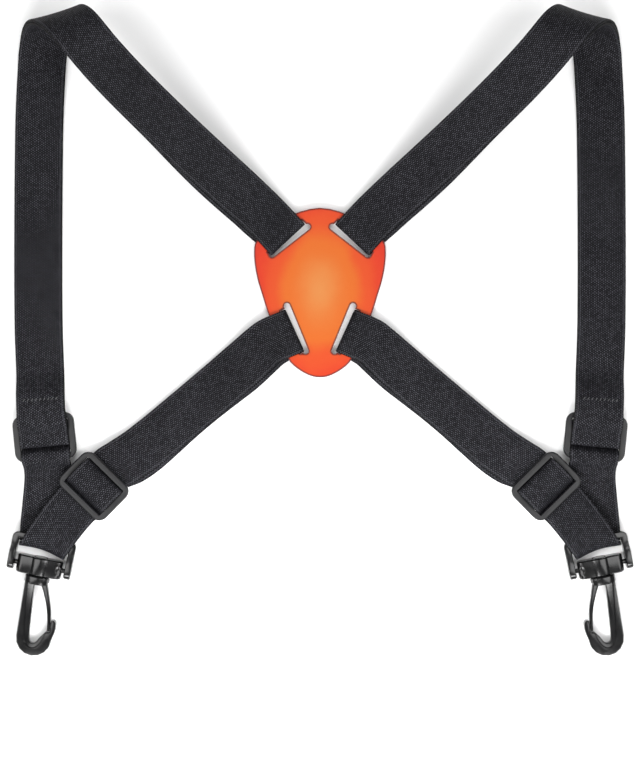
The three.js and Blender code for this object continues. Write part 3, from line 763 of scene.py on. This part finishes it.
def rib_tree():
    """Stands one rib at every pitch along a line, then makes them plain mesh"""
    tree = bpy.data.node_groups.new("grip_ribs", "GeometryNodeTree")
    tree.is_modifier = True
    names = {
        "row": group_input(tree, "Row", "NodeSocketGeometry"),
        "pitch": group_input(tree, "Pitch", "NodeSocketFloat", rib_pitch),
        "radius": group_input(tree, "Rib radius", "NodeSocketFloat", rib_radius),
        "height": group_input(tree, "Rib height", "NodeSocketFloat", rib_height),
        "nylon": group_input(tree, "Nylon", "NodeSocketMaterial"),
    }
    tree.interface.new_socket(name="Ribs", in_out="OUTPUT", socket_type="NodeSocketGeometry")
    given = tree.nodes.new("NodeGroupInput").outputs
    join = tree.links.new
    line = tree.nodes.new("GeometryNodeMeshToCurve")
    join(given["Row"], line.inputs["Mesh"])
    spots = tree.nodes.new("GeometryNodeResampleCurve")
    spots.mode = "LENGTH"
    join(line.outputs[0], spots.inputs["Curve"])
    join(given["Pitch"], spots.inputs["Length"])
    rib = tree.nodes.new("GeometryNodeMeshCone")
    rib.inputs["Vertices"].default_value = 10
    rib.inputs["Side Segments"].default_value = 3
    join(given["Rib radius"], rib.inputs["Radius Bottom"])
    join(given["Rib radius"], rib.inputs["Radius Top"])
    join(given["Rib height"], rib.inputs["Depth"])
    row = tree.nodes.new("GeometryNodeInstanceOnPoints")
    join(spots.outputs[0], row.inputs["Points"])
    join(rib.outputs[0], row.inputs["Instance"])
    real = tree.nodes.new("GeometryNodeRealizeInstances")
    join(row.outputs[0], real.inputs[0])
    coloured = tree.nodes.new("GeometryNodeSetMaterial")
    join(real.outputs[0], coloured.inputs["Geometry"])
    join(given["Nylon"], coloured.inputs["Material"])
    join(coloured.outputs[0], tree.nodes.new("NodeGroupOutput").inputs[0])
    return tree, names


ribs, rib_inputs = rib_tree()
for side in ("left", "right"):
    centre = centre_of(f"{side}_side_slider")
    rings, along = band_paths[f"{side}_side_band"]
    middle = rings.mean(axis=1)
    nearest = np.linalg.norm(middle[:, :2] - centre[:2], axis=1).argmin()
    ahead = (middle[nearest + 3] - middle[nearest - 3]) * (1, 1, 0)
    ahead /= np.linalg.norm(ahead)
    across = np.cross(ahead, (0, 0, 1))
    for end, reach in (("inner", window_end), ("outer", -window_end)):
        sunk = reach + math.copysign(rib_radius * rib_sink, reach)
        foot = centre + ahead * sunk - (0, 0, rib_height / 2)
        points = [foot + across * rib_row_half * share for share in (-1, 0, 1)]
        values = {
            rib_inputs["pitch"]: rib_pitch,
            rib_inputs["radius"]: rib_radius,
            rib_inputs["height"]: rib_height,
            rib_inputs["nylon"]: nylon,
        }
        row = laid_along(f"{side}_{end}_grip_ribs", points, ribs, values)
        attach(row, "harness")

# Swivel snap hooks: glossy black acetal mouldings, each held by its bail in the fold of both bands.
# The block turns on its pins in the bail, and the hook's headed shaft turns in the block.
# The gate is a springy tongue that closes the hook from inside.


def gloss_acetal():
    """Glossy black acetal: soft flow marks in its tone and its gloss"""
    flow_scale = 160.0
    grain_scale = 2600.0
    material, tree, shader = plain_material("gloss_acetal")
    work = sums(tree)
    place = tree.nodes.new("ShaderNodeTexCoord").outputs["Object"]
    flow = clouds(tree, place, flow_scale, 3.0)
    grain = clouds(tree, place, grain_scale, 2.0)
    colour = blended(tree, flow, tone(4, 4, 5), tone(10, 10, 11))
    tree.links.new(colour, shader.inputs["Base Color"])
    tree.links.new(work("MULTIPLY_ADD", flow, 0.14, 0.12), shader.inputs["Roughness"])
    shader.inputs["Specular IOR Level"].default_value = 0.65
    raised(tree, work("ADD", grain, work("MULTIPLY", flow, 0.3)), shader, 0.00001, 0.4)
    return material


acetal = gloss_acetal()
hardware = {"bail": "harness", "swivel_block": "block", "hook": "hook", "gate": "gate"}
for side in ("left", "right"):
    for kind, body in hardware.items():
        node = f"{side}_{kind}"
        piece = moulded(node, edge_radius, node + "_moulded")
        piece.data.materials.clear()
        piece.data.materials.append(acetal)
        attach(piece, "harness" if body == "harness" else f"{side}_{body}")
        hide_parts(node)

# Boss: a low oval pad with a dished middle on each face of the swivel block's inner arm.
# It is of the block's glossy acetal and moulded in one piece with it.
boss_out = 0.01
boss_half_width = 0.0015
boss_half_length = 0.0029
block_half_depth = 0.0032
boss_points = 28

# Share of the boss's size, and height over the block's face
boss_profile = [
    (1.0, -0.0012),
    (1.0, 0.00012),
    (0.9, 0.0003),
    (0.72, 0.00034),
    (0.62, 0.00022),
    (0.0, 0.0002),
]


def oval_boss(name, middle, across, along, outward):
    """Rings of the profile round an oval, closed with a point in the middle"""
    rings = [
        [
            middle + across * (boss_half_width * size * math.cos(turn))
            + along * (boss_half_length * size * math.sin(turn)) + outward * height
            for turn in np.arange(boss_points) * 2 * math.pi / boss_points
        ]
        for size, height in boss_profile[:-1]
    ]
    points = [point for ring in rings for point in ring] + [middle + outward * boss_profile[-1][1]]
    faces = [tuple(reversed(range(boss_points)))]
    for ring in range(len(rings) - 1):
        here, there = ring * boss_points, (ring + 1) * boss_points
        for k in range(boss_points):
            onward = (k + 1) % boss_points
            faces.append((here + k, here + onward, there + onward, there + k))
    last = (len(rings) - 1) * boss_points
    faces += [(last + k, last + (k + 1) % boss_points, len(points) - 1) for k in range(boss_points)]
    mesh = bpy.data.meshes.new(name)
    mesh.from_pydata([tuple(point) for point in points], [], faces)
    piece = bpy.data.objects.new(name, mesh)
    scene.collection.objects.link(piece)
    made_plain(piece, 50)
    return piece


joints = {joint["name"]: joint for joint in frame["joints"]}
for side, inward in (("left", 1), ("right", -1)):
    pin = np.array(joints[f"{side}_hook_pivot"]["pos_m"])
    across = np.array(joints[f"{side}_hook_pivot"]["axis"])
    across *= math.copysign(1, across[0] * inward)
    along = np.array(joints[f"{side}_hook_swivel"]["axis"])
    outward = np.cross(across, along)
    outward *= math.copysign(1, outward[2])
    for face, turn in (("upper", 1), ("lower", -1)):
        middle = pin + across * boss_out + outward * turn * block_half_depth
        boss = oval_boss(f"{side}_{face}_block_boss", middle, across, along, outward * turn)
        boss.data.materials.clear()
        boss.data.materials.append(acetal)
        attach(boss, f"{side}_block")

# Floor: a plain white sweep under the harness, with soft light from all round it.
floor_half = 3.0
floor_corners = [(x * floor_half, y * floor_half, 0) for x, y in ((-1, -1), (1, -1), (1, 1), (-1, 1))]
floor_mesh = bpy.data.meshes.new("floor")
floor_mesh.from_pydata(floor_corners, [], [(0, 1, 2, 3)])
floor = bpy.data.objects.new("floor", floor_mesh)
scene.collection.objects.link(floor)
floor_paint, floor_tree, floor_shader = plain_material("floor_paint")
floor_place = floor_tree.nodes.new("ShaderNodeTexCoord").outputs["Object"]
floor_clouds = clouds(floor_tree, floor_place, 3.0)
floor_tone = blended(floor_tree, floor_clouds, tone(250, 250, 250), tone(254, 254, 254))
floor_tree.links.new(floor_tone, floor_shader.inputs["Base Color"])
floor_shader.inputs["Roughness"].default_value = 0.9
floor_shader.inputs["Specular IOR Level"].default_value = 0.1
floor_mesh.materials.append(floor_paint)

world = bpy.data.worlds.new("studio")
scene.world = world
world.use_nodes = True
world.node_tree.nodes["Background"].inputs["Color"].default_value = (1, 1, 1, 1)
world.node_tree.nodes["Background"].inputs["Strength"].default_value = 0.15

# Name, place, aim, size, power and spread in degrees of each soft box; each strip aims at the far hook
soft_boxes = [
    ("front_box", (0, -1.0, 1.0), (0, 0, 0), (1.3, 0.45), 22.5, 180),
    ("back_box", (0, 0.75, 1.25), (0, 0, 0), (1.2, 0.6), 6.0, 180),
    ("left_box", (-0.75, -0.1, 1.15), (0, 0, 0), (0.6, 1.2), 7.2, 180),
    ("right_box", (0.75, -0.1, 1.15), (0, 0, 0), (0.6, 1.2), 7.2, 180),
    ("left_strip", (-0.22, -0.14, 0.3), (0.147, -0.14, 0.005), (0.13, 0.2), 0.12, 40),
    ("right_strip", (0.22, -0.14, 0.3), (-0.147, -0.14, 0.005), (0.13, 0.2), 0.12, 40),
]
for name, spot, aim, (wide, tall), power, spread in soft_boxes:
    lamp = bpy.data.lights.new(name, "AREA")
    lamp.shape = "RECTANGLE"
    lamp.size = wide
    lamp.size_y = tall
    lamp.energy = power
    lamp.spread = math.radians(spread)
    box = bpy.data.objects.new(name, lamp)
    box.location = spot
    box.rotation_euler = (Vector(aim) - Vector(spot)).to_track_quat("-Z", "Y").to_euler()
    scene.collection.objects.link(box)
scene.view_settings.view_transform = "Standard"
